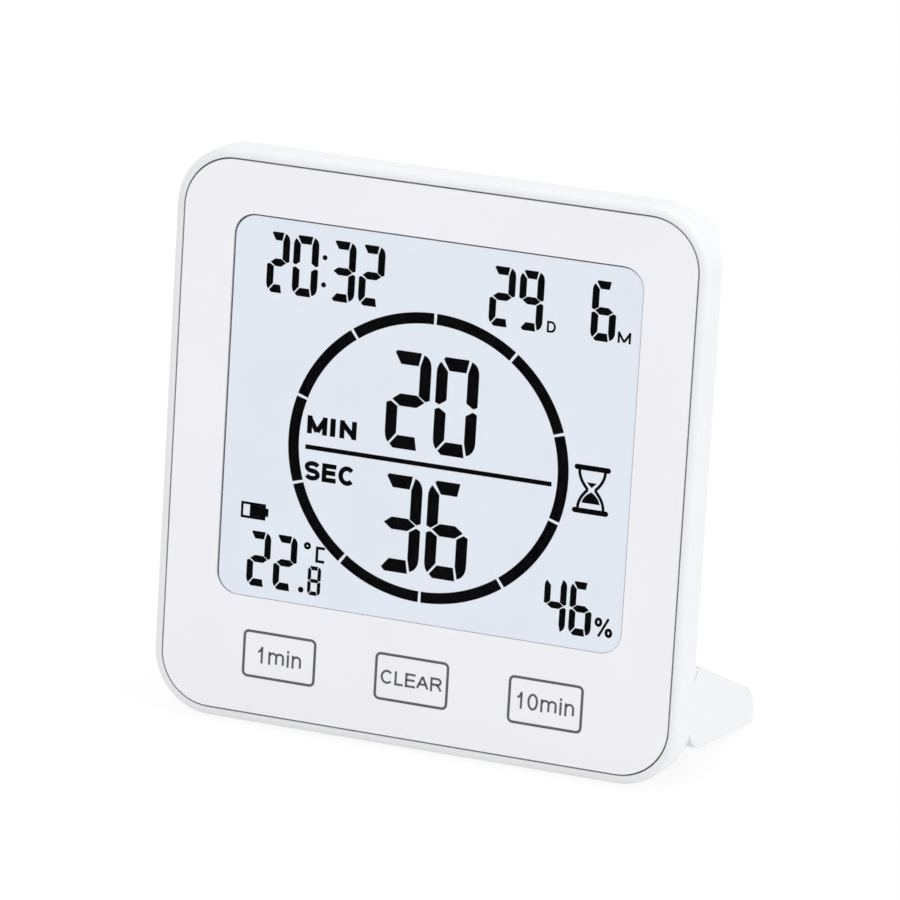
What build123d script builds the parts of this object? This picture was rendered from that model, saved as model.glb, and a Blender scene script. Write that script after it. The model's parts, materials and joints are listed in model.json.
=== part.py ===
from build123d import *
import math
import os

os.makedirs("parts", exist_ok=True)

# A desk thermo-hygrometer, in millimetres. It is drawn upright: X to the right as seen from the
# front, Y from the front face towards the back, Z up from the bottom edge. At the end it is
# tilted back to the pose in which it stands on its rear-bottom edge and on its fold-out stand.
overall_width = 80.0
overall_height = 82.5
shell_depth = 5.7
cover_back = 17.0
corner_radius = 8.9
lean = 5.0
middle = overall_height / 2

# Front shell: a rim around the flush face plate, and a deck behind it.
rim = 1.33
rim_rounding = 1.2
rear_edge = 0.3
deck_front = 1.7
deck_back = 3.0
shell_wall = 1.8

# Face plate and display window.
plate_gap = 0.25
plate_thickness = 1.5
window_width = 61.5
window_height = 55.1
window_radius = 3.2
window_middle = middle + 4.78
key_spacing = 20.25
key_height = 10.1

# Display glass, stacked front to back.
glass_width = 65.6
rear_glass_height = 58.0
glass_thickness = 1.1
ledge = 1.8
polariser_front = 1.75
polariser_thickness = 0.18
glass_front = 1.95
reflector_thickness = 0.2

# Main board.
board_front = 6.3
board_thickness = 1.2
board_width = 68.6
board_bottom = 8.0
board_top = 44.3
board_back = board_front + board_thickness

# Rear cover.
cover_half_width = 36.4
cover_bottom = 5.8
cover_top = 78.9
cover_corner = 5.3
cover_wall = 1.6
bottom_rounding = 4.5
top_rounding = 2.0
side_rounding = 3.5
flange_front = 4.1
cover_inside = cover_back - cover_wall

# Battery compartment for two AAA cells lying across the back.
cell_radius = 5.15
cell_length = 44.5
nub_length = 0.8
nub_radius = 1.9
cell_depth = 10.45
lower_cell = 52.0
upper_cell = 63.1
bay_half_width = 24.6
bay_bottom = 46.4
bay_top = 68.7
bay_floor_front = 4.5
bay_floor_back = 5.2
bay_wall = 0.9
contact_thickness = 0.4
bay_middle = (bay_bottom + bay_top) / 2
door_front = 15.85
door_width = 52.2
door_height = 23.8
door_gap = 0.1
door_axis = (16.95, 45.6)
tab_spacing = 15.0

# Rear setting buttons over their switches.
button_height = 38.6
button_pitch = 9.4
button_names = ["button_mode", "button_up", "button_down", "button_unit"]
button_travel = 0.5
switch_top = 11.7

# Stand: two side walls and a plate, hinged low on the sides of the rear cover.
hinge_y = 12.5
hinge_z = 10.3
stand_half_width = 39.3
stand_wall = 2.0
stand_plate = 1.7
stand_reach = 21.46
stand_offset = cover_back + 0.3 + stand_plate - hinge_y
stand_shoulder = 4.7
stand_corner = 4.5
wall_slope = 0.31
pin_radius = 1.2

# Where screws go.
case_screw_places = [(-31.0, 12.0), (31.0, 12.0)]
board_screw_places = [(-10.2, 10.4), (10.2, 10.4), (-32.4, 41.5), (32.4, 41.5)]


def front_to_back(sketch, y_front, y_back):
    # Extrudes an outline drawn as seen from the front.
    plane = Plane(origin=(0, y_front, 0), x_dir=(1, 0, 0), z_dir=(0, -1, 0))
    return extrude(plane * sketch, amount=y_front - y_back)


def left_to_right(sketch, x_left, x_right):
    # Extrudes a side view, with Y to the right and Z up.
    plane = Plane(origin=(x_left, 0, 0), x_dir=(0, 1, 0), z_dir=(1, 0, 0))
    return extrude(plane * sketch, amount=x_right - x_left)


def rounded(width, height, radius, x=0.0, z=middle):
    return Pos(x, z) * RectangleRounded(width, height, radius)


def block(width, height, x=0.0, z=middle):
    return Pos(x, z) * Rectangle(width, height)


def disc(radius, x, z):
    return Pos(x, z) * Circle(radius)


def both_sides(solid):
    return solid + mirror(solid, about=Plane.YZ)


def front_shell():
    outline = rounded(overall_width, overall_height, corner_radius)
    shell = front_to_back(outline, 0, shell_depth)
    front_edges = shell.faces().sort_by(Axis.Y)[0].edges()
    shell = fillet(front_edges, rim_rounding)
    rear_edges = shell.faces().sort_by(Axis.Y)[-1].edges()
    shell = chamfer(rear_edges, rear_edge)
    inner_width = overall_width - 2 * rim
    inner_height = overall_height - 2 * rim
    shell -= front_to_back(rounded(inner_width, inner_height, corner_radius - rim), -1, deck_front)
    cavity_width = overall_width - 2 * shell_wall
    cavity_height = overall_height - 2 * shell_wall
    cavity = rounded(cavity_width, cavity_height, corner_radius - shell_wall)
    shell -= front_to_back(cavity, deck_back, shell_depth + 1)
    opening_height = rear_glass_height + ledge + 0.6
    opening = rounded(glass_width + 0.8, opening_height, 1.0, z=window_middle - ledge / 2)
    shell -= front_to_back(opening, 0, deck_back + 1)
    for x in (-key_spacing, 0, key_spacing):
        shell -= front_to_back(disc(3.2, x, key_height), 0, deck_back + 1)
    for x, z in case_screw_places:
        shell += front_to_back(disc(2.0, x, z), deck_back - 0.2, 6.4)
        shell -= front_to_back(disc(1.0, x, z), deck_back + 0.4, 7)
    for x, z in board_screw_places[:2]:
        shell += front_to_back(disc(1.9, x, z), deck_back - 0.2, board_front)
        shell -= front_to_back(disc(0.9, x, z), deck_back + 0.4, 7)
    for x in (-20, 20):
        hook_slot = block(6.4, 1.2, x, overall_height - shell_wall + 0.5)
        shell -= front_to_back(hook_slot, 4.2, 5.2)
    return shell


def face_plate():
    width = overall_width - 2 * (rim + plate_gap)
    height = overall_height - 2 * (rim + plate_gap)
    plate = front_to_back(rounded(width, height, corner_radius - rim - plate_gap), 0, plate_thickness)
    plate -= front_to_back(rounded(window_width, window_height, window_radius, z=window_middle), -1, 3)
    return plate


def display_window():
    width = window_width - 0.1
    height = window_height - 0.1
    pane = rounded(width, height, window_radius - 0.05, z=window_middle)
    return front_to_back(pane, 0.05, plate_thickness)


def panel_tape():
    width = overall_width - 2 * (rim + 0.6)
    height = overall_height - 2 * (rim + 0.6)
    tape = front_to_back(rounded(width, height, corner_radius - rim - 0.6), plate_thickness, deck_front)
    opening = rounded(glass_width + 1.2, rear_glass_height + ledge + 1.0, 1.0, z=window_middle - ledge / 2)
    tape -= front_to_back(opening, 0, 3)
    for x in (-key_spacing, 0, key_spacing):
        tape -= front_to_back(disc(3.2, x, key_height), 0, 3)
    return tape


def display_stack():
    polariser = front_to_back(
        block(glass_width - 1.6, rear_glass_height - 1.6, z=window_middle),
        polariser_front,
        polariser_front + polariser_thickness,
    )
    front_glass = front_to_back(
        block(glass_width, rear_glass_height + ledge, z=window_middle - ledge / 2),
        glass_front,
        glass_front + glass_thickness,
    )
    rear_start = glass_front + glass_thickness
    rear_end = rear_start + glass_thickness
    rear_glass = front_to_back(block(glass_width, rear_glass_height, z=window_middle), rear_start, rear_end)
    reflector = front_to_back(
        block(glass_width - 1.0, rear_glass_height - 1.0, z=window_middle),
        rear_end + 0.02,
        rear_end + 0.02 + reflector_thickness,
    )
    return {
        "front_polarizer": polariser,
        "lcd_front_glass": front_glass,
        "lcd_rear_glass": rear_glass,
        "reflector_sheet": reflector,
    }


def lcd_holder():
    bottom = window_middle - rear_glass_height / 2 - ledge - 1.1
    top = window_middle + rear_glass_height / 2 + 1.2
    height = top - bottom
    holder = front_to_back(rounded(69.2, height, 2.0, z=(top + bottom) / 2), 3.1, 6.2)
    rear_end = glass_front + 2 * glass_thickness
    holder -= front_to_back(
        rounded(glass_width + 0.3, rear_glass_height + ledge + 0.3, 0.5, z=window_middle - ledge / 2),
        3.0,
        rear_end + 0.3,
    )
    holder -= front_to_back(rounded(61.0, 54.6, 2.0, z=window_middle + 0.6), 3.0, 7.0)
    strip_middle = window_middle - rear_glass_height / 2 - ledge + 0.85
    holder -= front_to_back(block(56.6, 1.5, z=strip_middle), 3.0, 7.0)
    for x, z in board_screw_places[2:]:
        holder -= front_to_back(disc(0.8, x, z), 4.5, 7.0)
    return holder


def zebra_strip():
    strip_middle = window_middle - rear_glass_height / 2 - ledge + 0.85
    return front_to_back(block(56.0, 1.2, z=strip_middle), glass_front + glass_thickness, board_front)


def touch_pads():
    pads = [front_to_back(disc(2.5, x, key_height), 1.6, board_front) for x in (-key_spacing, 0, key_spacing)]
    return Compound(children=pads)


def main_board():
    height = board_top - board_bottom
    board = front_to_back(
        rounded(board_width, height, 1.5, z=(board_top + board_bottom) / 2), board_front, board_back
    )
    # The lower corners are cut away around the case screw wells.
    for x, z in case_screw_places:
        board -= front_to_back(block(8.0, 8.2, x + math.copysign(0.4, x), z - 0.5), 5, 9)
    for x, z in board_screw_places:
        board -= front_to_back(disc(1.0, x, z), 5, 9)
    return board


def controller_chip():
    # A low round blob of black resin over the bonded chip.
    dome_radius = (6.5**2 + 1.5**2) / (2 * 1.5)
    dome = Pos(0, board_back + 1.5 - dome_radius, 25) * Sphere(dome_radius)
    return dome & front_to_back(disc(7.0, 0, 25), board_back, board_back + 2)


def clock_crystal():
    can = Pos(13, board_back + 1.05, 29.5) * Cylinder(1.0, 6.0)
    leads = [Pos(x, board_back + 0.7, 25.7) * Cylinder(0.2, 1.8) for x in (12.65, 13.35)]
    return can + leads


def chip_parts():
    parts = []
    for column in range(4):
        for row in range(3):
            x = 16.0 + 3.6 * column
            z = 15.0 + 2.6 * row
            parts.append(front_to_back(block(2.0, 1.25, x - 34.5, z), board_back, board_back + 0.7))
    return Compound(children=parts)


def button_place(index):
    return (index - 1.5) * button_pitch


def tact_switches():
    switches = []
    for index in range(len(button_names)):
        x = button_place(index)
        body = front_to_back(block(6.0, 6.0, x, button_height), board_back, board_back + 3.4)
        body += front_to_back(disc(1.6, x, button_height), board_back + 3.0, switch_top)
        switches.append(body)
    return Compound(children=switches)


def rear_button(index):
    x = button_place(index)
    cap = front_to_back(Pos(x, button_height) * SlotOverall(6.4, 3.6), cover_inside - 0.5, cover_back + 0.7)
    cap = fillet(cap.faces().sort_by(Axis.Y)[-1].edges(), 0.4)
    flange = front_to_back(Pos(x, button_height) * SlotOverall(8.0, 5.2), cover_inside - 0.85, cover_inside - 0.05)
    stem_end = switch_top + button_travel + 0.1
    stem = front_to_back(disc(1.4, x, button_height), stem_end, cover_inside - 0.4)
    return cap + flange + stem


def humidity_sensor():
    base = front_to_back(block(5.6, 4.6, 26.6, 37.4), board_back, board_back + 1.0)
    cap = front_to_back(block(4.0, 4.0, 26.6, 37.4), board_back + 0.9, board_back + 2.2)
    return base + cap - front_to_back(disc(0.9, 26.6, 37.4), board_back + 1.4, 12)


def buzzer():
    case = front_to_back(disc(5.3, -25.5, 36.1), board_back, board_back + 4.5)
    case = chamfer(case.faces().sort_by(Axis.Y)[-1].edges(), 0.4)
    return case - front_to_back(disc(1.0, -25.5, 36.1), board_back + 3.5, 14)


def cover_form(inset, y_front):
    # The raised back as the overlap of a front view, a side view and a plan, each with its own rounding.
    bottom = cover_bottom + inset
    top = cover_top - inset
    back = cover_back - inset
    half_width = cover_half_width - inset
    z_middle = (bottom + top) / 2
    front_view = front_to_back(
        rounded(2 * half_width, top - bottom, cover_corner - inset, z=z_middle), y_front, back
    )
    y_middle = back / 2
    side_outline = Pos(y_middle, z_middle) * Rectangle(back, top - bottom)
    corners = side_outline.vertices().filter_by(lambda v: v.X > y_middle)
    low_corner = corners.sort_by(Axis.Y)[0]
    high_corner = corners.sort_by(Axis.Y)[-1]
    side_outline = fillet(low_corner, bottom_rounding - inset)
    high_corner = side_outline.vertices().sort_by(lambda v: v.X + 3 * v.Y)[-1]
    side_outline = fillet(high_corner, top_rounding - inset)
    side_view = left_to_right(side_outline, -half_width, half_width)
    plan_outline = Pos(0, y_middle) * Rectangle(2 * half_width, back)
    back_corners = plan_outline.vertices().filter_by(lambda v: v.Y > y_middle)
    plan_outline = fillet(back_corners, side_rounding - inset)
    plan_view = Pos(0, 0, bottom) * extrude(plan_outline, amount=top - bottom)
    return front_view & side_view & plan_view


def screw_well(x, z):
    well = front_to_back(disc(3.2, x, z), 6.6, cover_back - 0.5)
    hollow = front_to_back(disc(2.2, x, z), 8.0, cover_back + 1)
    hollow += front_to_back(disc(1.1, x, z), 6, 9)
    return well, hollow


def vent_slots(x_middle):
    slots = []
    for index in range(5):
        x = x_middle + (index - 2) * 2.2
        slots.append(front_to_back(Pos(x, 37.5) * Rot(0, 0, 90) * SlotOverall(7.0, 1.1), 14, 18))
    return slots


def rear_cover():
    cover = cover_form(0, flange_front)
    flange = rounded(overall_width - 2 * shell_wall - 0.2, overall_height - 2 * shell_wall - 0.2, 7.0)
    cover += front_to_back(flange, flange_front, shell_depth)
    cover -= cover_form(cover_wall, flange_front - 1)
    for x in (-20, 20):
        hook = block(6.0, 1.6, x, overall_height - shell_wall + 0.0)
        cover += front_to_back(hook, 4.3, 5.1)

    bay_height = bay_top - bay_bottom
    bay_outer = rounded(2 * (bay_half_width + bay_wall), bay_height + 2 * bay_wall, 1.5, z=bay_middle)
    cover += front_to_back(bay_outer, bay_floor_front, cover_back - 0.5)
    pocket = block(8.6, 8.2, 0, 73.4)
    cover += front_to_back(pocket, 11.6, cover_back - 0.5)

    cover -= front_to_back(rounded(2 * bay_half_width, bay_height, 0.8, z=bay_middle), bay_floor_back, 18)
    door_opening = rounded(door_width + 2 * door_gap, door_height + 2 * door_gap, 2.0, z=bay_middle)
    cover -= front_to_back(door_opening, cover_back - 1.2, 18)
    rib_length = 2 * bay_half_width - 10
    rib_height = (lower_cell + upper_cell) / 2
    cover += front_to_back(block(rib_length, 0.5, 0, rib_height), bay_floor_back - 0.2, bay_floor_back + 2)
    cover -= front_to_back(block(7.0, 6.6, 0, 73.4), 12.4, cover_inside)
    keyhole = disc(2.6, 0, 73.0) + Pos(0, 74.0) * Rot(0, 0, 90) * SlotOverall(4.6, 2.8)
    cover -= front_to_back(keyhole, 14, 18)

    for x in (-tab_spacing, tab_spacing):
        cover -= front_to_back(block(5.6, 3.0, x, 45.0), 13.6, cover_inside)
        cover -= front_to_back(block(5.6, 1.2, x, bay_bottom - 0.3), 13.6, cover_back - 1.0)
    cover -= front_to_back(block(0.8, 2.4, 0.3 - bay_half_width, bay_bottom), 7.4, 9.8)

    for index in range(len(button_names)):
        place = Pos(button_place(index), button_height)
        cover -= front_to_back(place * SlotOverall(6.7, 3.9), 14, 18)
    for x_middle in (-26.4, 26.4):
        for slot in vent_slots(x_middle):
            cover -= slot
    notch = Pos(0, hinge_z + stand_reach + 0.6) * SlotOverall(16.0, 6.0)
    cover -= front_to_back(notch, cover_back - 0.9, 18)

    for side in (-1, 1):
        boss = Plane(origin=(0, hinge_y, hinge_z), x_dir=(0, 1, 0), z_dir=(side, 0, 0))
        cover += extrude(boss.offset(cover_half_width - 3.4) * Circle(2.8), amount=3.2)
        cover += extrude(boss.offset(cover_half_width - 0.5) * Circle(3.4), amount=1.1)
    for x, z in case_screw_places:
        well, hollow = screw_well(x, z)
        cover += well & cover_form(0, flange_front)
        cover -= hollow
    return cover - stand_pins(0.01)


def battery_door():
    door = front_to_back(rounded(door_width, door_height, 1.9, z=bay_middle), door_front, cover_back)
    for x in (-tab_spacing, tab_spacing):
        door += front_to_back(block(5.0, 2.0, x, 44.8), 14.5, 15.3)
        door += front_to_back(block(5.0, 1.1, x, 46.25), 14.5, door_front + 0.1)
    # A finger latch at the top: two slits leave a springy tongue with a ridge to push.
    top = bay_middle + door_height / 2
    for x in (-5.4, 5.4):
        door -= front_to_back(block(0.6, 7.0, x, top - 3.5), 15, 18)
    door -= front_to_back(Pos(0, top - 2.2) * SlotOverall(8.0, 2.6), cover_back - 0.5, 18)
    for index in range(5):
        ridge = block(8.0 - 1.2 * index, 0.5, 0, bay_middle - 3.5 - 1.4 * index)
        door += front_to_back(ridge, cover_back - 0.1, cover_back + 0.25)
    return door


def battery(z, nub_side):
    # The positive nub points along nub_side, against a flat contact.
    body_end = bay_half_width - contact_thickness - nub_length
    body_start = body_end - (cell_length - nub_length)
    body = left_to_right(Pos(cell_depth, z) * Circle(cell_radius), body_start, body_end)
    body = chamfer(body.edges().filter_by(GeomType.CIRCLE), 0.5)
    nub = left_to_right(Pos(cell_depth, z) * Circle(nub_radius), body_end - 0.1, body_end + nub_length)
    cell = body + nub
    if nub_side < 0:
        cell = mirror(cell, about=Plane.YZ)
    return cell


def contact_spring(z, side):
    gap = 2 * bay_half_width - cell_length - 2 * contact_thickness
    wire_radius = 0.3
    height = gap - 2 * wire_radius - 0.1
    cone = math.degrees(math.atan2(1.4, height))
    path = Helix(pitch=height / 3, height=height, radius=3.3, cone_angle=-cone)
    section = Plane(origin=path @ 0, z_dir=path % 0) * RegularPolygon(wire_radius, 6)
    wire = sweep(section, path=path, is_frenet=True)
    start = -bay_half_width + contact_thickness + wire_radius + 0.05
    spring = Pos(start, cell_depth, z) * Rot(0, 90, 0) * wire
    if side > 0:
        spring = mirror(spring, about=Plane.YZ)
    return spring


def contact_springs():
    return Compound(children=[contact_spring(lower_cell, -1), contact_spring(upper_cell, 1)])


def contact_link():
    height = upper_cell - lower_cell + 9.0
    outline = Pos(cell_depth, (lower_cell + upper_cell) / 2) * RectangleRounded(8.0, height, 1.0)
    return left_to_right(outline, bay_half_width - contact_thickness, bay_half_width)


def contact_plates():
    plates = []
    for z in (lower_cell, upper_cell):
        outline = Pos(cell_depth, z) * RectangleRounded(8.0, 9.0, 1.0)
        if z == lower_cell:
            outline += Pos(8.6, (41.8 + z) / 2) * Rectangle(1.6, z - 41.8)
        plates.append(left_to_right(outline, -bay_half_width, -bay_half_width + contact_thickness))
    return Compound(children=plates)


def vent_screens():
    return both_sides(front_to_back(rounded(12.0, 9.0, 0.8, 26.4, 37.5), cover_inside - 0.35, cover_inside - 0.05))


def screw(x, z, head_back, head_radius, head_height, shank_radius, tip):
    head = front_to_back(disc(head_radius, x, z), head_back - head_height, head_back)
    head = chamfer(head.faces().sort_by(Axis.Y)[-1].edges(), 0.25)
    for width, height in ((0.5, 2.0), (2.0, 0.5)):
        head -= front_to_back(block(width, height, x, z), head_back - 0.6, head_back + 1)
    return head + front_to_back(disc(shank_radius, x, z), tip, head_back - head_height + 0.1)


def case_screws():
    return Compound(children=[screw(x, z, 9.3, 1.9, 1.3, 0.98, 3.6) for x, z in case_screw_places])


def board_screws():
    screws = []
    for index, (x, z) in enumerate(board_screw_places):
        shank = 0.88 if index < 2 else 0.78
        tip = 3.6 if index < 2 else 4.7
        screws.append(screw(x, z, board_back + 1.1, 1.6, 1.1, shank, tip))
    return Compound(children=screws)


def wall_line(along):
    # Height of the side wall above the stand's outer face, at a place along the stand.
    return stand_offset + 4.6 - wall_slope * along


def side_wall_outline():
    # Drawn folded up: along runs up from the hinge, and depth is measured in from the outer face.
    def point(along, depth):
        return (hinge_y + stand_offset - depth, hinge_z + along)

    tip_corner = point(stand_reach - 0.56, stand_shoulder)
    blade = Polygon(
        point(0, 0), point(stand_reach, 0), tip_corner, point(0, wall_line(0)), align=None
    )
    nearest = blade.vertices().sort_by_distance((*tip_corner, 0))[0]
    blade = fillet(nearest, stand_corner)
    knuckle = Pos(hinge_y, hinge_z) * Circle(stand_offset)
    keep = Polygon(
        point(-8, -1), point(1, -1), point(1, wall_line(1)), point(-8, wall_line(-8)), align=None
    )
    return blade + (knuckle & keep)


def stand():
    wall = left_to_right(side_wall_outline(), stand_half_width - stand_wall, stand_half_width)
    hinge_hole = left_to_right(
        Pos(hinge_y, hinge_z) * Circle(pin_radius + 0.05), stand_half_width - 3, stand_half_width - 0.7
    )
    wall -= hinge_hole
    plate_length = stand_reach - 0.9
    plate_outline = Pos(
        hinge_y + stand_offset - stand_plate / 2, hinge_z + 0.9 + plate_length / 2
    ) * Rectangle(stand_plate, plate_length)
    plate = left_to_right(plate_outline, -stand_half_width, stand_half_width)
    return both_sides(wall) + plate


def stand_pins(allowance=0.0):
    outline = Pos(hinge_y, hinge_z) * Circle(pin_radius - 0.01 + allowance)
    return both_sides(left_to_right(outline, cover_half_width - 2.8, 38.5))


def open_stand(folded):
    # The tip of the opened stand touches the table plane, which passes through the shell's rear edge.
    hinge_above_table = hinge_z * math.cos(math.radians(lean)) - (
        hinge_y - contact_y
    ) * math.sin(math.radians(lean))
    tip_distance = math.hypot(stand_reach, stand_offset)
    below_level = math.degrees(math.asin(hinge_above_table / tip_distance))
    below_level -= math.degrees(math.atan2(stand_offset, stand_reach))
    turn = 90 + below_level - lean
    print("the stand folds through", round(turn, 2), "degrees")
    hinge = Pos(0, hinge_y, hinge_z)
    return hinge * Rot(-turn, 0, 0) * Pos(0, -hinge_y, -hinge_z) * folded


contact_y = shell_depth - rear_edge

nodes = {
    "front_shell": front_shell(),
    "face_plate": face_plate(),
    "display_window": display_window(),
    "panel_tape": panel_tape(),
    **display_stack(),
    "lcd_holder": lcd_holder(),
    "zebra_strip": zebra_strip(),
    "touch_pads": touch_pads(),
    "main_board": main_board(),
    "controller_chip": controller_chip(),
    "clock_crystal": clock_crystal(),
    "chip_parts": chip_parts(),
    "tact_switches": tact_switches(),
    "humidity_sensor": humidity_sensor(),
    "buzzer": buzzer(),
    "rear_cover": rear_cover(),
    "battery_door": battery_door(),
    "battery_lower": battery(lower_cell, 1),
    "battery_upper": battery(upper_cell, -1),
    "contact_springs": contact_springs(),
    "contact_link": contact_link(),
    "contact_plates": contact_plates(),
    "vent_screens": vent_screens(),
    "case_screws": case_screws(),
    "board_screws": board_screws(),
    "stand": open_stand(stand()),
    "stand_pins": stand_pins(),
}
for index, name in enumerate(button_names):
    nodes[name] = rear_button(index)

# Tilt everything back about the edge that stands on the table, then centre it front to back.
tilted = {name: Rot(-lean, 0, 0) * Pos(0, -contact_y, 0) * solid for name, solid in nodes.items()}
boxes = [solid.bounding_box() for solid in tilted.values()]
shift = -(min(box.min.Y for box in boxes) + max(box.max.Y for box in boxes)) / 2
print("moved in Y by", round(shift, 3))
for name, solid in tilted.items():
    export_step(Pos(0, shift, 0) * solid, os.path.join("parts", name + ".step"))
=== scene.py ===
import json
import math

import bmesh
import bpy
from mathutils import Matrix, Vector


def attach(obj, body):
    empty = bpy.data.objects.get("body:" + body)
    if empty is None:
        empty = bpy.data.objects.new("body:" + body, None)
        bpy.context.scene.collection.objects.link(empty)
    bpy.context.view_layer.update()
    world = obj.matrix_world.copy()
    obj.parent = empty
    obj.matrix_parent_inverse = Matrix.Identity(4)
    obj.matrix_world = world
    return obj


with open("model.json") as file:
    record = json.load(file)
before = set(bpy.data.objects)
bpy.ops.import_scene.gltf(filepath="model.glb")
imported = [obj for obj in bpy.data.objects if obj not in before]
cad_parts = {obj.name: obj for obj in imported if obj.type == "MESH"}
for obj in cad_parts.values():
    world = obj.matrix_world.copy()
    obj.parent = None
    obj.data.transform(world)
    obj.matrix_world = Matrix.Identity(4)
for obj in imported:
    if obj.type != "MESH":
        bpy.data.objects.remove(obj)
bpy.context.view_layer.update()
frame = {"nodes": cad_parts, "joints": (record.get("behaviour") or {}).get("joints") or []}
print("frame loaded")

mm = 0.001

# The instrument is laid out upright, x to the right, y back from its face and z up from its
# bottom edge, in millimetres. Then it leans back about the stand's hinge.
layout = {
    "lean": 5.0,
    "hingeDepth": 12.5,
    "hingeHeight": 10.3,
}
hingePlace = Vector(next(j["pos_m"] for j in frame["joints"] if j["name"] == "stand_fold"))
hingeOffset = Vector((0, layout["hingeDepth"] * mm, layout["hingeHeight"] * mm))
leanBack = Matrix.Rotation(-math.radians(layout["lean"]), 4, "X")
standing = Matrix.Translation(hingePlace) @ leanBack @ Matrix.Translation(-hingeOffset)


# Camera, at the photograph's viewing angle
cameraView = {
    "azimuth": 22.10,      # degrees, towards the instrument's right
    "elevation": 18.20,
    "roll": 1.45,
    "aim": (8.78, -33.26, 52.47),
    "distance": 1000.0,
    "lens": 293.5,
    "shift": (0.0219, -0.0104),
    "clip": (0.05, 20),
}


def makeCamera():
    azimuth = math.radians(cameraView["azimuth"])
    elevation = math.radians(cameraView["elevation"])
    away = Vector((math.sin(azimuth) * math.cos(elevation),
                   -math.cos(azimuth) * math.cos(elevation),
                   math.sin(elevation)))
    data = bpy.data.cameras.new("camera")
    data.lens = cameraView["lens"]
    data.shift_x, data.shift_y = cameraView["shift"]
    data.clip_start, data.clip_end = cameraView["clip"]
    camera = bpy.data.objects.new("camera", data)
    turn = (-away).to_track_quat("-Z", "Y").to_matrix().to_4x4()
    roll = Matrix.Rotation(math.radians(cameraView["roll"]), 4, "Z")
    place = (Vector(cameraView["aim"]) + away * cameraView["distance"]) * mm
    camera.matrix_world = Matrix.Translation(place) @ turn @ roll
    bpy.context.collection.objects.link(camera)
    bpy.context.scene.camera = camera


# Materials

def shaderOf(material):
    return material.node_tree.nodes["Principled BSDF"].inputs


def startMaterial(name, colour, roughness):
    material = bpy.data.materials.new(name)
    material.use_nodes = True
    shaderOf(material)["Base Color"].default_value = (*colour, 1)
    shaderOf(material)["Roughness"].default_value = roughness
    return material


def addNode(material, kind, **settings):
    node = material.node_tree.nodes.new(kind)
    for name, value in settings.items():
        setattr(node, name, value)
    return node


def objectNoise(material, scale, detail=3.0, stretch=(1, 1, 1)):
    tree = material.node_tree
    coords = addNode(material, "ShaderNodeTexCoord")
    mapping = addNode(material, "ShaderNodeMapping")
    mapping.inputs["Scale"].default_value = stretch
    noise = addNode(material, "ShaderNodeTexNoise")
    noise.inputs["Scale"].default_value = scale
    noise.inputs["Detail"].default_value = detail
    tree.links.new(coords.outputs["Object"], mapping.inputs["Vector"])
    tree.links.new(mapping.outputs["Vector"], noise.inputs["Vector"])
    return noise


def rangeOf(material, value, low, high, fromLow=0.35, fromHigh=0.65):
    spread = addNode(material, "ShaderNodeMapRange")
    spread.inputs["From Min"].default_value = fromLow
    spread.inputs["From Max"].default_value = fromHigh
    spread.inputs["To Min"].default_value = low
    spread.inputs["To Max"].default_value = high
    material.node_tree.links.new(value, spread.inputs["Value"])
    return spread.outputs["Result"]


def addTone(material, first, second, scale, detail=2.0, stretch=(1, 1, 1)):
    # Varies the colour softly between two tones.
    noise = objectNoise(material, scale, detail, stretch)
    mix = addNode(material, "ShaderNodeMix", data_type="RGBA")
    mix.inputs[6].default_value = (*first, 1)
    mix.inputs[7].default_value = (*second, 1)
    links = material.node_tree.links
    links.new(rangeOf(material, noise.outputs["Fac"], 0, 1), mix.inputs[0])
    links.new(mix.outputs[2], shaderOf(material)["Base Color"])
    return mix


def addGloss(material, low, high, scale, stretch=(1, 1, 1)):
    # Varies the roughness.
    noise = objectNoise(material, scale, 3.0, stretch)
    roughness = rangeOf(material, noise.outputs["Fac"], low, high)
    material.node_tree.links.new(roughness, shaderOf(material)["Roughness"])


def addGrain(material, scale, strength, depth):
    # A moulded or printed surface's fine grain, with its depth in millimetres.
    noise = objectNoise(material, scale, 2.0)
    bump = addNode(material, "ShaderNodeBump")
    bump.inputs["Strength"].default_value = strength
    bump.inputs["Distance"].default_value = depth * mm
    links = material.node_tree.links
    links.new(noise.outputs["Fac"], bump.inputs["Height"])
    links.new(bump.outputs["Normal"], shaderOf(material)["Normal"])


def satinAbs():
    # The housing: white moulded plastic with a fine spark texture.
    material = startMaterial("satinAbs", (0.778, 0.782, 0.798), 0.42)
    addTone(material, (0.772, 0.776, 0.792), (0.784, 0.788, 0.804), 160)
    addGloss(material, 0.38, 0.5, 900)
    addGrain(material, 5200, 0.16, 0.012)
    shaderOf(material)["Specular IOR Level"].default_value = 0.45
    return material


def glossPanel():
    # The face plate: smooth, slightly bluish white.
    material = startMaterial("glossPanel", (0.842, 0.842, 0.875), 0.22)
    addTone(material, (0.836, 0.836, 0.87), (0.848, 0.848, 0.88), 60)
    addGloss(material, 0.16, 0.24, 300)
    addGrain(material, 400, 0.05, 0.01)
    return material


def clearAcrylic():
    # The window is so clear that it shows mostly as gloss.
    material = startMaterial("clearAcrylic", (0.1, 0.11, 0.12), 0.06)
    shaderOf(material)["Alpha"].default_value = 0.015
    shaderOf(material)["IOR"].default_value = 1.49
    addGloss(material, 0.03, 0.09, 220)
    return material


def foamTape():
    material = startMaterial("foamTape", (0.32, 0.32, 0.34), 0.9)
    addTone(material, (0.26, 0.26, 0.28), (0.4, 0.4, 0.42), 2600)
    addGrain(material, 3800, 0.5, 0.05)
    return material


def polariserFilm():
    # Reflective display film: pale bluish grey with a very fine grain.
    material = startMaterial("polariserFilm", (0.76, 0.81, 0.885), 0.35)
    addTone(material, (0.752, 0.802, 0.878), (0.768, 0.815, 0.892), 90)
    addGrain(material, 7000, 0.08, 0.004)
    return material


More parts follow.
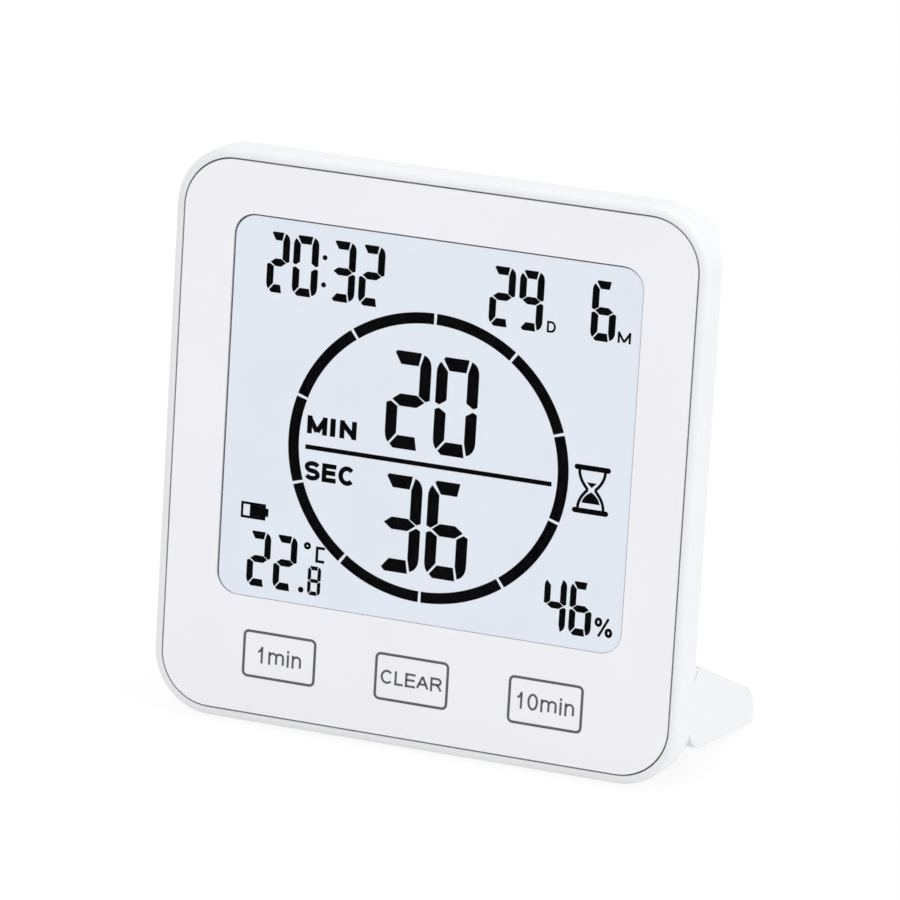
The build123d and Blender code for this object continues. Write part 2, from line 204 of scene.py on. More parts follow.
def displayGlass():
    material = startMaterial("displayGlass", (0.7, 0.78, 0.76), 0.08)
    addTone(material, (0.66, 0.75, 0.72), (0.74, 0.81, 0.79), 200)
    addGloss(material, 0.05, 0.12, 400)
    return material


def reflectorFoil():
    material = startMaterial("reflectorFoil", (0.75, 0.76, 0.78), 0.4)
    shaderOf(material)["Metallic"].default_value = 0.8
    addTone(material, (0.7, 0.71, 0.74), (0.8, 0.81, 0.83), 1500)
    addGloss(material, 0.3, 0.45, 2500)
    return material


def holderPlastic():
    material = startMaterial("holderPlastic", (0.8, 0.8, 0.78), 0.5)
    addTone(material, (0.76, 0.76, 0.74), (0.84, 0.84, 0.82), 300)
    addGrain(material, 3000, 0.2, 0.01)
    return material


def conductiveRubber():
    material = startMaterial("conductiveRubber", (0.03, 0.03, 0.032), 0.75)
    addTone(material, (0.02, 0.02, 0.022), (0.05, 0.05, 0.052), 1200)
    addGrain(material, 2600, 0.35, 0.02)
    return material


def boardLaminate():
    # Green solder mask over copper tracks.
    material = startMaterial("boardLaminate", (0.02, 0.16, 0.07), 0.35)
    tree = material.node_tree
    mix = addTone(material, (0.012, 0.12, 0.05), (0.03, 0.2, 0.09), 500)
    coords = addNode(material, "ShaderNodeTexCoord")
    tracks = addNode(material, "ShaderNodeTexBrick")
    tracks.inputs["Scale"].default_value = 260
    tracks.inputs["Mortar Size"].default_value = 0.06
    tree.links.new(coords.outputs["Object"], tracks.inputs["Vector"])
    tree.links.new(rangeOf(material, tracks.outputs["Fac"], 0.0, 1.0, 0, 1), mix.inputs[0])
    addGloss(material, 0.25, 0.42, 700)
    return material


def chipResin():
    material = startMaterial("chipResin", (0.015, 0.015, 0.016), 0.3)
    addTone(material, (0.01, 0.01, 0.011), (0.03, 0.03, 0.032), 600)
    addGrain(material, 900, 0.3, 0.05)
    return material


def platedSteel():
    material = startMaterial("platedSteel", (0.66, 0.66, 0.64), 0.25)
    shaderOf(material)["Metallic"].default_value = 1.0
    addTone(material, (0.6, 0.6, 0.58), (0.72, 0.72, 0.7), 400)
    addGloss(material, 0.18, 0.36, 900, (1, 1, 6))
    return material


def chipCeramic():
    material = startMaterial("chipCeramic", (0.35, 0.27, 0.2), 0.5)
    addTone(material, (0.3, 0.22, 0.16), (0.42, 0.33, 0.25), 1800)
    addGrain(material, 3000, 0.3, 0.01)
    return material


def blackPlastic():
    material = startMaterial("blackPlastic", (0.02, 0.02, 0.022), 0.45)
    addTone(material, (0.014, 0.014, 0.016), (0.03, 0.03, 0.033), 500)
    addGrain(material, 3800, 0.25, 0.01)
    return material


def sensorPlastic():
    material = startMaterial("sensorPlastic", (0.75, 0.76, 0.74), 0.55)
    addTone(material, (0.7, 0.71, 0.69), (0.8, 0.81, 0.79), 900)
    addGrain(material, 4000, 0.2, 0.01)
    return material


def batteryJacket():
    # Plastic sleeve with a lengthwise brushed sheen.
    material = startMaterial("batteryJacket", (0.2, 0.32, 0.42), 0.3)
    shaderOf(material)["Metallic"].default_value = 0.35
    addTone(material, (0.16, 0.28, 0.38), (0.24, 0.37, 0.47), 700, 3.0, (0.08, 1, 1))
    addGloss(material, 0.22, 0.38, 1500, (0.05, 1, 1))
    return material


def screenFabric():
    material = startMaterial("screenFabric", (0.1, 0.1, 0.105), 0.8)
    addTone(material, (0.07, 0.07, 0.075), (0.15, 0.15, 0.155), 2500)
    addGrain(material, 6000, 0.5, 0.02)
    return material


def screwSteel():
    material = startMaterial("screwSteel", (0.5, 0.5, 0.5), 0.32)
    shaderOf(material)["Metallic"].default_value = 1.0
    addTone(material, (0.42, 0.42, 0.43), (0.58, 0.58, 0.57), 1300)
    addGloss(material, 0.22, 0.45, 2200)
    return material


def buttonPlastic():
    material = startMaterial("buttonPlastic", (0.8, 0.8, 0.81), 0.4)
    addTone(material, (0.78, 0.78, 0.79), (0.83, 0.83, 0.84), 400)
    addGrain(material, 4600, 0.2, 0.012)
    return material


def displayInk():
    # Dark liquid crystal segments.
    material = startMaterial("displayInk", (0.002, 0.002, 0.003), 0.7)
    addTone(material, (0.0015, 0.0015, 0.002), (0.003, 0.003, 0.004), 800)
    shaderOf(material)["Specular IOR Level"].default_value = 0.0
    return material


def panelInk():
    # Screen-printed grey on the face plate.
    material = startMaterial("panelInk", (0.085, 0.085, 0.095), 0.5)
    addTone(material, (0.075, 0.075, 0.085), (0.1, 0.1, 0.11), 2400)
    addGrain(material, 5200, 0.2, 0.004)
    return material


finishes = {
    "case_plastic": satinAbs(),
    "panel_plastic": glossPanel(),
    "window_pane": clearAcrylic(),
    "foam_tape": foamTape(),
    "polariser_film": polariserFilm(),
    "display_glass": displayGlass(),
    "reflector_foil": reflectorFoil(),
    "holder_plastic": holderPlastic(),
    "conductive_rubber": conductiveRubber(),
    "board_laminate": boardLaminate(),
    "chip_resin": chipResin(),
    "plated_steel": platedSteel(),
    "chip_ceramic": chipCeramic(),
    "black_plastic": blackPlastic(),
    "sensor_plastic": sensorPlastic(),
    "battery_jacket": batteryJacket(),
    "screen_fabric": screenFabric(),
    "screw_steel": screwSteel(),
    "button_plastic": buttonPlastic(),
}
inkOfDisplay = displayInk()
inkOfPanel = panelInk()


def dressFrame():
    for node in frame["nodes"].values():
        for index, material in enumerate(node.data.materials):
            node.material_slots[index].material = finishes[material.name.split(".")[0]]
    print("frame dressed in", len(finishes), "finishes")


# Flat marks, as thin closed plates

def addPlate(bm, outline, front, back):
    # The outline is a list of (x, z) points, and the plate lies between two depths.
    near = [bm.verts.new(standing @ Vector((x * mm, front * mm, z * mm))) for x, z in outline]
    far = [bm.verts.new(standing @ Vector((x * mm, back * mm, z * mm))) for x, z in outline]
    bm.faces.new(near)
    bm.faces.new(reversed(far))
    for i in range(len(near)):
        k = (i + 1) % len(near)
        bm.faces.new((near[i], far[i], far[k], near[k]))


def finishPiece(name, bm, material, body):
    mesh = bpy.data.meshes.new(name)
    bm.to_mesh(mesh)
    bm.free()
    mesh.materials.append(material)
    piece = bpy.data.objects.new(name, mesh)
    bpy.context.collection.objects.link(piece)
    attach(piece, body)


def makePlates(name, outlines, front, back, material, slotName, body="case"):
    bm = bmesh.new()
    for outline in outlines:
        addPlate(bm, outline, front, back)
    bmesh.ops.recalc_face_normals(bm, faces=bm.faces)
    finishPiece(name, bm, material, body)


def arcPoints(x, z, across, up, start, end, steps=14):
    # Points on an ellipse's arc, in degrees counter-clockwise from its right end.
    points = []
    for i in range(steps + 1):
        angle = math.radians(start + (end - start) * i / steps)
        points.append((x + across * math.cos(angle), z + up * math.sin(angle)))
    return points


def ovalLoop(x, z, across, up, steps=20):
    return arcPoints(x, z, across, up, 90, 450, steps)


def bend(start, control, end, steps=6):
    # A curve between two points, drawn towards a third.
    points = []
    for i in range(steps + 1):
        t = i / steps
        parts = [(1 - t) ** 2, 2 * t * (1 - t), t ** 2]
        pulls = list(zip(parts, (start, control, end)))
        points.append(tuple(sum(share * point[k] for share, point in pulls) for k in (0, 1)))
    return points


mitreLimit = 0.5    # keeps the point of a sharp corner short


def strokeOutline(points, pen):
    # The outline of a pen line of even width, with mitred corners.
    closed = points[0] == points[-1]
    path = [Vector(p) for p in (points[:-1] if closed else points)]
    sides = ([], [])
    count = len(path)
    for i, here in enumerate(path):
        before = path[i - 1] if i > 0 or closed else None
        after = path[(i + 1) % count] if i < count - 1 or closed else None
        ends = [(p, q) for p, q in ((before, here), (here, after)) if p is not None and q is not None]
        runs = [(q - p).normalized() for p, q in ends]
        along = sum(runs, Vector((0, 0))).normalized()
        reach = pen / 2 / max(mitreLimit, along.dot(runs[0]))
        across = Vector((-along.y, along.x)) * reach
        sides[0].append(tuple(here + across))
        sides[1].append(tuple(here - across))
    if not closed:
        return [sides[0] + sides[1][::-1]]
    # A closed line becomes short plates side by side.
    left, right = sides
    return [[left[i - 1], left[i], right[i], right[i - 1]] for i in range(count)]


# Seven-segment figures

segmentsLit = {
    "0": "abcdef", "2": "abdeg", "3": "abcdg", "4": "bcfg", "6": "acdefg", "8": "abcdefg", "9": "abcdfg",
}
barShare = 0.121    # a segment's width as a share of the figure's height


def figureSegments(width, height):
    # Outlines of the seven segments: a at the top, then clockwise to f, and g across the middle.
    t = barShare * height
    half = height / 2
    return {
        "a": [(0.73 * t, height), (0.58 * t, height - 0.19 * t), (1.12 * t, height - 1.12 * t),
              (width - 1.15 * t, height - 1.12 * t), (width - 0.92 * t, height)],
        "b": bend((width - 0.69 * t, height - 0.12 * t), (width, height - 0.35 * t),
                  (width, height - 1.3 * t))
             + [(width, half + 0.25 * t), (width - 0.37 * t, half + 0.08 * t), (width - t, half + 0.5 * t),
                (width - t, height - 1.17 * t)],
        "c": [(width - t, half - 0.58 * t), (width - 0.38 * t, half - 0.19 * t), (width, half - 0.38 * t)]
             + bend((width, 1.46 * t), (width, 0.45 * t), (width - 0.77 * t, 0.19 * t))
             + [(width - t, 1.27 * t)],
        "d": [(0.46 * t, 0.31 * t), (1.12 * t, 1.12 * t), (width - 1.15 * t, 1.12 * t),
              (width - 0.96 * t, 0), (0.77 * t, 0)],
        "e": [(t, half - 0.58 * t), (t, 1.27 * t)]
             + bend((0.31 * t, 0.42 * t), (0, 0.75 * t), (0, 1.46 * t))
             + [(0, half - 0.35 * t), (0.38 * t, half - 0.19 * t)],
        "f": [(t, height - 1.2 * t), (t, half + 0.5 * t), (0.38 * t, half + 0.08 * t), (0, half + 0.23 * t)]
             + bend((0, height - 1.42 * t), (0, height - 0.8 * t), (0.35 * t, height - 0.45 * t)),
        "g": [(0.5 * t, half), (1.19 * t, half + 0.52 * t), (width - 1.15 * t, half + 0.52 * t),
              (width - 0.46 * t, half), (width - 1.15 * t, half - 0.52 * t), (1.19 * t, half - 0.52 * t)],
    }


def figure(character, left, bottom, width, height):
    outlines = figureSegments(width, height)
    return [[(left + x, bottom + z) for x, z in outlines[name]] for name in segmentsLit[character]]


# Drawn letters: each is strokes in a box from 0 to 1 both ways

xHeight = 0.725


def letterStrokes():
    return {
        "M": [[(0, 0), (0, 1)], [(0, 1), (0.5, 0)], [(0.5, 0), (1, 1)], [(1, 1), (1, 0)]],
        "I": [[(0.5, 0), (0.5, 1)]],
        "N": [[(0, 0), (0, 1)], [(0, 1), (1, 0)], [(1, 0), (1, 1)]],
        "S": [arcPoints(0.5, 0.75, 0.5, 0.25, 20, 270) + arcPoints(0.5, 0.25, 0.5, 0.25, 90, -160)[1:]],
        "E": [[(0, 0), (0, 1)], [(0, 1), (1, 1)], [(0, 0.52), (0.92, 0.52)], [(0, 0), (1, 0)]],
        "C": [arcPoints(0.53, 0.5, 0.53, 0.5, 42, 318, 22)],
        "D": [[(0, 0), (0, 1)], [(0, 1)] + arcPoints(0.45, 0.5, 0.55, 0.5, 90, -90) + [(0, 0)]],
        "L": [[(0, 1), (0, 0)], [(0, 0), (1, 0)]],
        "A": [[(0, 0), (0.5, 1)], [(0.5, 1), (1, 0)], [(0.2, 0.34), (0.8, 0.34)]],
        "R": [[(0, 0), (0, 1)], [(0, 1)] + arcPoints(0.62, 0.75, 0.33, 0.25, 90, -90) + [(0, 0.5)],
              bend((0.5, 0.5), (0.72, 0.45), (1, 0))],
        "1": [[(1, 0), (1, 1)], bend((1, 0.98), (0.6, 0.74), (0, 0.68))],
        "0": [ovalLoop(0.5, 0.5, 0.5, 0.5, 24)],
        "m": [[(0, 0), (0, xHeight)]] + [
            [(x + 0.5, 0)] + arcPoints(x + 0.26, xHeight - 0.2, 0.24, 0.2, 0, 170, 10) for x in (0, 0.5)],
        "i": [[(0.5, 0), (0.5, xHeight)], [(0.5, 0.97), (0.5, 1)]],
        "n": [[(0, 0), (0, xHeight)],
              [(1, 0)] + arcPoints(0.52, xHeight - 0.24, 0.48, 0.24, 0, 165, 12)],
    }


letters = letterStrokes()
# Left bearing, drawn width and advance of the printed letters, as shares of their height
letterSpacing = {
    "1": (0.15, 0.37, 0.777), "0": (0.06, 0.65, 0.777), "m": (0.09, 0.99, 1.163), "i": (0.09, 0.12, 0.31),
    "n": (0.09, 0.59, 0.777), "C": (0.07, 0.89, 1.008), "L": (0.1, 0.63, 0.777), "E": (0.11, 0.75, 0.932),
    "A": (0.0, 0.93, 0.932), "R": (0.11, 0.87, 1.008),
}


def letter(character, left, bottom, width, height, pen):
    # Centre lines stay half a pen inside the letter's box.
    outlines = []
    for stroke in letters[character]:
        points = [(left + pen / 2 + x * (width - pen), bottom + pen / 2 + z * (height - pen))
                  for x, z in stroke]
        if len(points) == 2:
            (x0, z0), (x1, z1) = points
            if x0 == x1:
                down, up = sorted((z0, z1))
                points = [(x0, down - pen / 2), (x0, up + pen / 2)]
            elif z0 == z1:
                points = [(min(x0, x1) - pen / 2, z0), (max(x0, x1) + pen / 2, z0)]
        outlines += strokeOutline(points, pen)
    return outlines


def legend(text, middle, bottom, height, pen):
    advance = [letterSpacing[character][2] * height for character in text]
    first = letterSpacing[text[0]][0] * height
    last = sum(letterSpacing[text[-1]][:2]) * height - advance[-1]
    left = middle - (sum(advance) + first + last) / 2
    outlines = []
    for character, step in zip(text, advance):
        bearing, width, _ = letterSpacing[character]
        wide = max(width * height, pen)
        outlines += letter(character, left + bearing * height, bottom, wide, height, pen)
        left += step
    return outlines


# The display, seen right behind its clear window: a pale film with dark marks on it
display = {
    # Depths of the marks behind the face
    "front": 0.085,
    "back": 0.1,
    "film": {"width": 61.1, "height": 54.81, "corner": 3.0, "middle": (0.1, 45.95),
             "front": 0.1, "back": 0.4},
    # Each figure: character, left edge, width
    "time": {"bottom": 62.78, "height": 8.67,
             "figures": [("2", -25.55, 3.34), ("0", -21.64, 3.85),
                         ("3", -15.99, 3.86), ("2", -11.57, 3.81)]},
    "date": {"bottom": 62.6, "height": 8.5,
             "figures": [("2", 8.09, 3.75), ("9", 12.46, 3.65), ("6", 23.23, 3.65)]},
    "minutes": {"bottom": 43.18, "height": 14.0, "figures": [("2", -6.38, 6.48), ("0", 0.9, 6.38)]},
    "seconds": {"bottom": 25.38, "height": 14.05, "figures": [("3", -6.59, 6.42), ("6", 0.69, 6.32)]},
    "warmth": {"bottom": 20.13, "height": 8.0, "figures": [("2", -26.21, 3.55), ("2", -22.15, 3.55)]},
    "tenths": {"bottom": 20.09, "height": 4.24, "figures": [("8", -16.8, 2.0)]},
    "dampness": {"bottom": 20.45, "height": 7.75, "figures": [("4", 18.91, 3.34), ("6", 22.76, 3.34)]},
    # Each dot: middle across, middle up, radius
    "dots": [(-16.84, 68.75, 0.37), (-16.84, 64.86, 0.37), (-17.76, 20.66, 0.42)],
    # Each letter: character, left, bottom, width, height, pen
    "letters": [
        ("M", -18.13, 43.38, 3.04, 2.6, 0.74), ("I", -14.63, 43.38, 0.8, 2.6, 0.8),
        ("N", -13.19, 43.38, 2.57, 2.6, 0.74),
        ("S", -18.18, 36.66, 2.37, 2.8, 0.66), ("E", -15.51, 36.71, 2.15, 2.7, 0.68),
        ("C", -12.99, 36.66, 2.47, 2.8, 0.68),
        ("D", 16.82, 62.77, 1.33, 1.64, 0.3), ("M", 27.31, 62.77, 1.95, 1.59, 0.32),
    ],
    "bar": {"left": -18.25, "right": 18.96, "middle": 41.41, "pen": 0.66},
    "ring": {"middle": (0.26, 42.34), "outside": 20.96, "inside": 19.36, "parts": 10, "gap": 0.4,
             "points": 22, "stretch": (1.009, 0.991)},
    # Each sign: left, bottom, then its own measures
    "percent": (26.62, 20.83, 2.72, 2.72, 0.43),
    "celsius": (-17.64, 24.93, 2.34, 0.4),
    "battery": (-27.55, 29.8, 4.22, 2.36),
    "hourglass": (22.2, 37.97, 5.4, 6.92),
}


dotSides = 24


def roundDot(x, z, radius):
    return arcPoints(x, z, radius, radius, 0, 360 - 360 / dotSides, dotSides - 1)


def percentSign(left, bottom, width, height, pen):
    # Two oval loops with a thinner slash between them.
    outlines = []
    loop = (0.42 * width, 0.5 * height)
    for x, z in ((left, bottom + height - loop[1]), (left + width - loop[0], bottom)):
        across = (loop[0] - pen) / 2
        up = (loop[1] - pen) / 2
        outlines += strokeOutline(ovalLoop(x + loop[0] / 2, z + loop[1] / 2, across, up), pen)
    slash = [(left + 0.24 * width, bottom), (left + 0.76 * width, bottom + height)]
    outlines += strokeOutline(slash, 0.8 * pen)
    return outlines


def degreesCelsius(left, bottom, height, pen):
    # A small ring, and a square C made of three straight segments.
    ring = 0.46 * height
    middle = (left + ring / 2, bottom + height - ring / 2 + 0.18 * height)
    outlines = strokeOutline(ovalLoop(*middle, ring / 2 - pen / 2, ring / 2 - pen / 2), pen)
    side = left + ring + 0.42 * height
    right = side + 0.5 * height
    for points in ([(side, bottom), (side, bottom + height)],
                   [(side + 0.1, bottom + height - pen / 2), (right, bottom + height - pen / 2)],
                   [(side + 0.1, bottom + pen / 2), (right, bottom + pen / 2)]):
        outlines += strokeOutline(points, pen)
    return outlines


def batterySign(left, bottom, width, height):
    # Two thirds full, with its nub on the right.
    wall = 0.36
    nub = 0.42
    body = width - nub
    top = bottom + height
    empty = left + 0.36 * body
    return [
        [(empty, bottom), (left + body, bottom), (left + body, top), (empty, top)],
        [(left + body, bottom + 0.25 * height), (left + width, bottom + 0.25 * height),
         (left + width, top - 0.25 * height), (left + body, top - 0.25 * height)],
        [(left, bottom), (empty, bottom), (empty, bottom + wall), (left, bottom + wall)],
        [(left, top - wall), (empty, top - wall), (empty, top), (left, top)],
        [(left, bottom), (left + wall, bottom), (left + wall, top), (left, top)],
    ]


def hourglassSign(left, bottom, width, height):
    # Two caps, curved walls that meet at the waist, and the sand in two heaps.
    pen = 0.42
    capPen = 0.76
    middle = left + width / 2
    outlines = []

    def place(across, up):
        return (middle + across * width, bottom + up * height)

    ends = (left + capPen / 2, left + width - capPen / 2)
    for z in (bottom + capPen / 2, bottom + height - capPen / 2):
        outlines += strokeOutline([(x, z) for x in ends], capPen)
        outlines += [roundDot(x, z, capPen / 2) for x in ends]
    for side in (-1, 1):
        for cap, belly in ((0.93, 0.72), (0.07, 0.28)):
            wall = bend(place(0.35 * side, cap), place(0.38 * side, belly), place(0.1 * side, 0.5), 8)
            outlines += strokeOutline(wall, pen)
    heap = bend(place(-0.25, 0.22), place(-0.21, 0.37), place(0, 0.455), 5)
    outlines.append(heap + bend(place(0, 0.455), place(0.21, 0.37), place(0.25, 0.22), 5)[1:])
    outlines.append([place(-0.14, 0.65), place(0.14, 0.65), place(0, 0.545)])
    return outlines


def makeDisplayFilm():
    film = display["film"]
    outline = roundedLoop(*film["middle"], film["width"], film["height"], film["corner"])[:-1]
    finish = finishes["polariser_film"]
    makePlates("display_film", [outline], film["front"], film["back"], finish, "polariser_film")


def makeDisplayMarks():
    outlines = []
    for group in ("time", "date", "minutes", "seconds", "warmth", "tenths", "dampness"):
        row = display[group]
        for character, left, width in row["figures"]:
            outlines += figure(character, left, row["bottom"], width, row["height"])
    for x, z, radius in display["dots"]:
        outlines.append(roundDot(x, z, radius))
    depths = (display["front"], display["back"])
    makePlates("display_figures", outlines, *depths, inkOfDisplay, "black_plastic")

    signs = []
    for character, left, bottom, width, height, pen in display["letters"]:
        signs += letter(character, left, bottom, width, height, pen)
    bar = display["bar"]
    signs += strokeOutline([(bar["left"], bar["middle"]), (bar["right"], bar["middle"])], bar["pen"])
    signs += percentSign(*display["percent"])
    signs += degreesCelsius(*display["celsius"])
    signs += batterySign(*display["battery"])
    signs += hourglassSign(*display["hourglass"])
    makePlates("display_signs", signs, *depths, inkOfDisplay, "black_plastic")
    print("display marks made")


# The countdown ring: arcs with narrow gaps between them, repeated by Geometry Nodes

def makeNodeModifier(piece, group, values):
    modifier = piece.modifiers.new("repeat", "NODES")
    modifier.node_group = group
    sockets = [item for item in group.interface.items_tree if item.item_type == "SOCKET"]
    names = {item.name: item.identifier for item in sockets}
    for name, value in values.items():
        modifier[names[name]] = value


def freezePiece(piece):
    # Turns the evaluated nodes into a plain mesh and removes them.
    evaluated = piece.evaluated_get(bpy.context.evaluated_depsgraph_get())
    mesh = bpy.data.meshes.new_from_object(evaluated)
    piece.modifiers.clear()
    piece.data = mesh
    return mesh


def ringNodes():
    group = bpy.data.node_groups.new("ringParts", "GeometryNodeTree")
    kinds = {"Parts": "Int", "Outside": "Float", "Inside": "Float", "Gap": "Float", "Thickness": "Float",
             "Ink": "Material"}
    for name, kind in kinds.items():
        group.interface.new_socket(name, in_out="INPUT", socket_type="NodeSocket" + kind)
    group.interface.new_socket("Geometry", in_out="OUTPUT", socket_type="NodeSocketGeometry")
    nodes, links = group.nodes, group.links

    def add(kind, **settings):
        node = nodes.new(kind)
        for name, value in settings.items():
            setattr(node, name, value)
        return node

    def maths(operation, first, second):
        node = add("ShaderNodeMath", operation=operation)
        for index, value in enumerate((first, second)):
            if isinstance(value, (int, float)):
                node.inputs[index].default_value = value
            else:
                links.new(value, node.inputs[index])
        return node.outputs[0]

    given = add("NodeGroupInput").outputs
    middle = maths("MULTIPLY", maths("ADD", given["Outside"], given["Inside"]), 0.5)
    wide = maths("SUBTRACT", given["Outside"], given["Inside"])
    turn = maths("DIVIDE", 2 * math.pi, given["Parts"])
    gapAngle = maths("DIVIDE", given["Gap"], middle)
    arc = add("GeometryNodeCurveArc")
    arc.inputs["Resolution"].default_value = display["ring"]["points"]
    links.new(middle, arc.inputs["Radius"])
    links.new(maths("MULTIPLY", gapAngle, 0.5), arc.inputs["Start Angle"])
    links.new(maths("SUBTRACT", turn, gapAngle), arc.inputs["Sweep Angle"])
    section = add("GeometryNodeCurvePrimitiveQuadrilateral")
    links.new(wide, section.inputs["Width"])
    links.new(given["Thickness"], section.inputs["Height"])
    solid = add("GeometryNodeCurveToMesh")
    solid.inputs["Fill Caps"].default_value = True
    links.new(arc.outputs["Curve"], solid.inputs["Curve"])
    links.new(section.outputs["Curve"], solid.inputs["Profile Curve"])
    seeds = add("GeometryNodeMeshLine")
    seeds.inputs["Offset"].default_value = (0, 0, 0)
    links.new(given["Parts"], seeds.inputs["Count"])
    number = add("GeometryNodeInputIndex")
    spin = add("ShaderNodeCombineXYZ")
    links.new(maths("MULTIPLY", number.outputs[0], turn), spin.inputs["Z"])
    copies = add("GeometryNodeInstanceOnPoints")
    links.new(seeds.outputs["Mesh"], copies.inputs["Points"])
    links.new(solid.outputs["Mesh"], copies.inputs["Instance"])
    links.new(spin.outputs["Vector"], copies.inputs["Rotation"])
    real = add("GeometryNodeRealizeInstances")
    links.new(copies.outputs["Instances"], real.inputs["Geometry"])
    paint = add("GeometryNodeSetMaterial")
    links.new(real.outputs["Geometry"], paint.inputs["Geometry"])
    links.new(given["Ink"], paint.inputs["Material"])
    result = add("NodeGroupOutput")
    links.new(paint.outputs["Geometry"], result.inputs[0])
    return group


def makeRing():
    ring = display["ring"]
    piece = bpy.data.objects.new("display_ring", bpy.data.meshes.new("display_ring"))
    bpy.context.collection.objects.link(piece)
    thickness = display["back"] - display["front"]
    makeNodeModifier(piece, ringNodes(), {
        "Parts": ring["parts"], "Outside": ring["outside"] * mm, "Inside": ring["inside"] * mm,
        "Gap": ring["gap"] * mm, "Thickness": thickness * mm, "Ink": inkOfDisplay,
    })
    mesh = freezePiece(piece)
    # The arcs are made flat on the ground: stand them up, with a gap at the top, and lay them on the
    # film.
    depth = (display["front"] + display["back"]) / 2
    upright = Matrix.Rotation(math.radians(90), 4, "X") @ Matrix.Rotation(math.radians(90), 4, "Z")
    across, up = ring["middle"]
    wide, tall = ring["stretch"]
    stretch = Matrix.Diagonal((wide, 1, tall, 1))
    mesh.transform(standing @ Matrix.Translation(Vector((across, depth, up)) * mm) @ stretch @ upright)
    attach(piece, "case")
    print("ring made of", ring["parts"], "parts")


# Printing on the face plate: three touch keys
keys = {
    # Depths: the print stands a hair proud of the face
    "front": -0.02,
    "back": 0.01,
    "width": 11.25,
    "height": 6.95,
    "corner": 0.85,
    "line": 0.38,
    "pen": 0.32,
    # Each key: legend, middle across, middle up, letter height
    "legends": [("1min", -20.45, 10.25, 2.45), ("CLEAR", -0.15, 10.1, 2.05), ("10min", 20.13, 9.92, 2.45)],
}


def roundedLoop(x, z, width, height, corner, steps=6):
    # A closed rounded rectangle, whose first point is repeated at the end.
    points = []
    for side, up, start in ((1, 1, 0), (-1, 1, 90), (-1, -1, 180), (1, -1, 270)):
        points += arcPoints(x + side * (width / 2 - corner), z + up * (height / 2 - corner),
                            corner, corner, start, start + 90, steps)
    return points + points[:1]


def makeKeyPrints():
    outlines = []
    line = keys["line"]
    size = (keys["width"] - line, keys["height"] - line)
    for text, across, up, height in keys["legends"]:
        outlines += strokeOutline(roundedLoop(across, up, *size, keys["corner"] - line / 2), line)
        outlines += legend(text, across, up - height / 2, height, keys["pen"])
    makePlates("key_prints", outlines, keys["front"], keys["back"], inkOfPanel, "panel_plastic")
    print("keys printed")


# Cheeks of the housing that round off the step between the shell and the stand's knuckles
cheeks = {
    "front": 5.75,
    "inside": 36.2,
    "outside": 39.25,
    "clearance": 6.62,     # radius about the hinge
    "upperHeight": 17.0,
    "lowerHeight": 4.3,
    "slope": 0.31,
    "shellCorner": (31.1, 8.9, 8.25),      # middle across, middle up, radius
    "slices": 10,
    "arcSteps": 10,
    "fineStep": 0.01,
}


def cheekSection(x, side):
    # The profile above (side 1) or below (side -1) the hinge, as (depth, height) points.
    hinge = (layout["hingeDepth"], layout["hingeHeight"])
    radius = cheeks["clearance"]
    front = cheeks["front"]
    if side > 0:
        # The sloping top line is followed forwards until it leaves the knuckle's clearance.
        rise = cheeks["upperHeight"] - hinge[1]
        count = 0
        depth = hinge[0]
        while math.hypot(hinge[0] - depth, rise - cheeks["slope"] * (depth - front)) < radius:
            count += 1
            depth = hinge[0] - count * cheeks["fineStep"]
        edge = (depth, cheeks["upperHeight"] - cheeks["slope"] * (depth - front))
        corner = (front, cheeks["upperHeight"])
    else:
        # The lower end follows the shell's rounded corner.
        across, up, bow = cheeks["shellCorner"]
        low = max(cheeks["lowerHeight"], up - math.sqrt(max(0, bow ** 2 - (x - across) ** 2)))
        edge = (hinge[0] - math.sqrt(radius ** 2 - (hinge[1] - low) ** 2), low)
        corner = (front, low)
    end = math.degrees(math.pi - side * math.acos(min(1, (hinge[0] - front) / radius)))
    start = math.degrees(math.atan2(edge[1] - hinge[1], edge[0] - hinge[0])) % 360
    return [corner] + arcPoints(*hinge, radius, radius, start, end, cheeks["arcSteps"])


def addCheek(bm, hand, side):
    step = (cheeks["outside"] - cheeks["inside"]) / cheeks["slices"]
    rings = []
    for i in range(cheeks["slices"] + 1):
        x = cheeks["inside"] + i * step
        rings.append([bm.verts.new(standing @ (Vector((hand * x, y, z)) * mm))
                      for y, z in cheekSection(x, side)])
    for near, far in zip(rings, rings[1:]):
        for i in range(len(near)):
            bm.faces.new((near[i - 1], near[i], far[i], far[i - 1]))
    bm.faces.new(rings[0])
    bm.faces.new(rings[-1])


def makeCheeks():
    bm = bmesh.new()
    for hand in (-1, 1):
        for side in (-1, 1):
            addCheek(bm, hand, side)
    bmesh.ops.recalc_face_normals(bm, faces=bm.faces)
    finishPiece("hinge_cheeks", bm, finishes["case_plastic"], "case")
    print("cheeks made")


# Floor, backdrop and light
studio = {
    "floorSize": 6.0,
    "floorColour": (0.9, 0.9, 0.9, 1),
    "floorGlow": (0.3, 0.88),      # share of plain glow for the surfaces, and as seen directly
    "glowStrength": 1.01,
    "skyLight": (0.8, 1.0),        # strength for the surfaces, and as seen directly
    # Each lamp: place, size, power
    "lamps": {
        "key": ((-0.7, -1.2, 1.3), 1.2, 3.4),
        "fill": ((1.5, -0.3, 0.6), 1.0, 7.1),
        "top": ((0.1, 0.2, 1.8), 1.0, 7.5),
    },
}


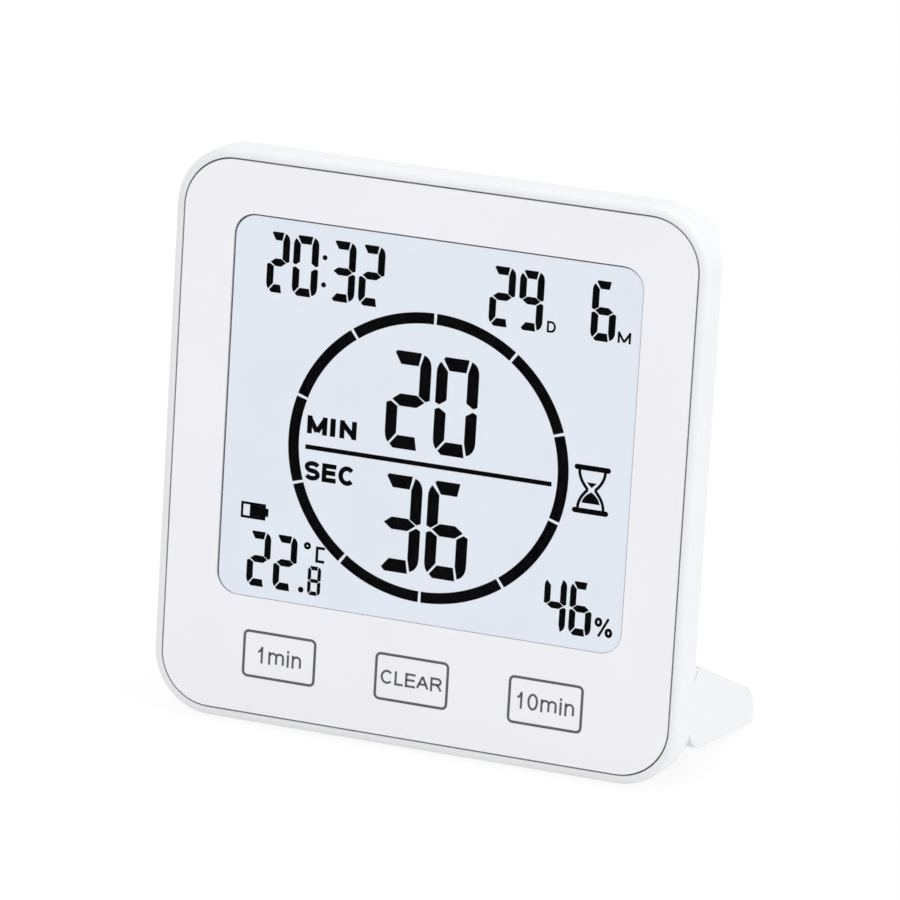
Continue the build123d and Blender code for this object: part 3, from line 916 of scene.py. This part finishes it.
def seenDirectly(tree):
    # 1 for camera, mirror and see-through rays, 0 for the light that reaches surfaces.
    path = tree.nodes.new("ShaderNodeLightPath")
    first = tree.nodes.new("ShaderNodeMath")
    first.operation = "MAXIMUM"
    second = tree.nodes.new("ShaderNodeMath")
    second.operation = "MAXIMUM"
    tree.links.new(path.outputs["Is Camera Ray"], first.inputs[0])
    tree.links.new(path.outputs["Is Glossy Ray"], first.inputs[1])
    tree.links.new(first.outputs[0], second.inputs[0])
    tree.links.new(path.outputs["Is Transmission Ray"], second.inputs[1])
    return second.outputs[0]


def makeFloor():
    size = studio["floorSize"] / 2
    corners = [(-size, -size, 0), (size, -size, 0), (size, size, 0), (-size, size, 0)]
    mesh = bpy.data.meshes.new("floor")
    mesh.from_pydata(corners, [], [(0, 1, 2, 3)])
    floor = bpy.data.objects.new("floor", mesh)
    bpy.context.collection.objects.link(floor)
    material = bpy.data.materials.new("floorPaper")
    material.use_nodes = True
    tree = material.node_tree
    tree.nodes.clear()
    paper = tree.nodes.new("ShaderNodeBsdfDiffuse")
    paper.inputs["Color"].default_value = studio["floorColour"]
    glow = tree.nodes.new("ShaderNodeEmission")
    glow.inputs["Strength"].default_value = studio["glowStrength"]
    mix = tree.nodes.new("ShaderNodeMixShader")
    share = tree.nodes.new("ShaderNodeMapRange")
    share.inputs["To Min"].default_value, share.inputs["To Max"].default_value = studio["floorGlow"]
    output = tree.nodes.new("ShaderNodeOutputMaterial")
    tree.links.new(seenDirectly(tree), share.inputs["Value"])
    tree.links.new(share.outputs[0], mix.inputs["Fac"])
    tree.links.new(paper.outputs[0], mix.inputs[1])
    tree.links.new(glow.outputs[0], mix.inputs[2])
    tree.links.new(mix.outputs[0], output.inputs["Surface"])
    mesh.materials.append(material)


def makeSky():
    world = bpy.data.worlds.new("studio")
    bpy.context.scene.world = world
    world.use_nodes = True
    tree = world.node_tree
    background = tree.nodes["Background"]
    background.inputs["Color"].default_value = (1, 1, 1, 1)
    strength = tree.nodes.new("ShaderNodeMapRange")
    strength.inputs["To Min"].default_value, strength.inputs["To Max"].default_value = studio["skyLight"]
    tree.links.new(seenDirectly(tree), strength.inputs["Value"])
    tree.links.new(strength.outputs["Result"], background.inputs["Strength"])


def makeLamps():
    for name, (place, size, power) in studio["lamps"].items():
        data = bpy.data.lights.new(name, "AREA")
        data.size = size
        data.energy = power
        lamp = bpy.data.objects.new(name, data)
        lamp.location = place
        lamp.rotation_euler = (-Vector(place)).to_track_quat("-Z", "Y").to_euler()
        bpy.context.collection.objects.link(lamp)


makeCamera()
makeFloor()
makeSky()
makeLamps()
bpy.context.scene.view_settings.view_transform = "Standard"
print("camera, floor, sky and lamps ready")
dressFrame()
makeDisplayFilm()
makeDisplayMarks()
makeRing()
makeKeyPrints()
makeCheeks()
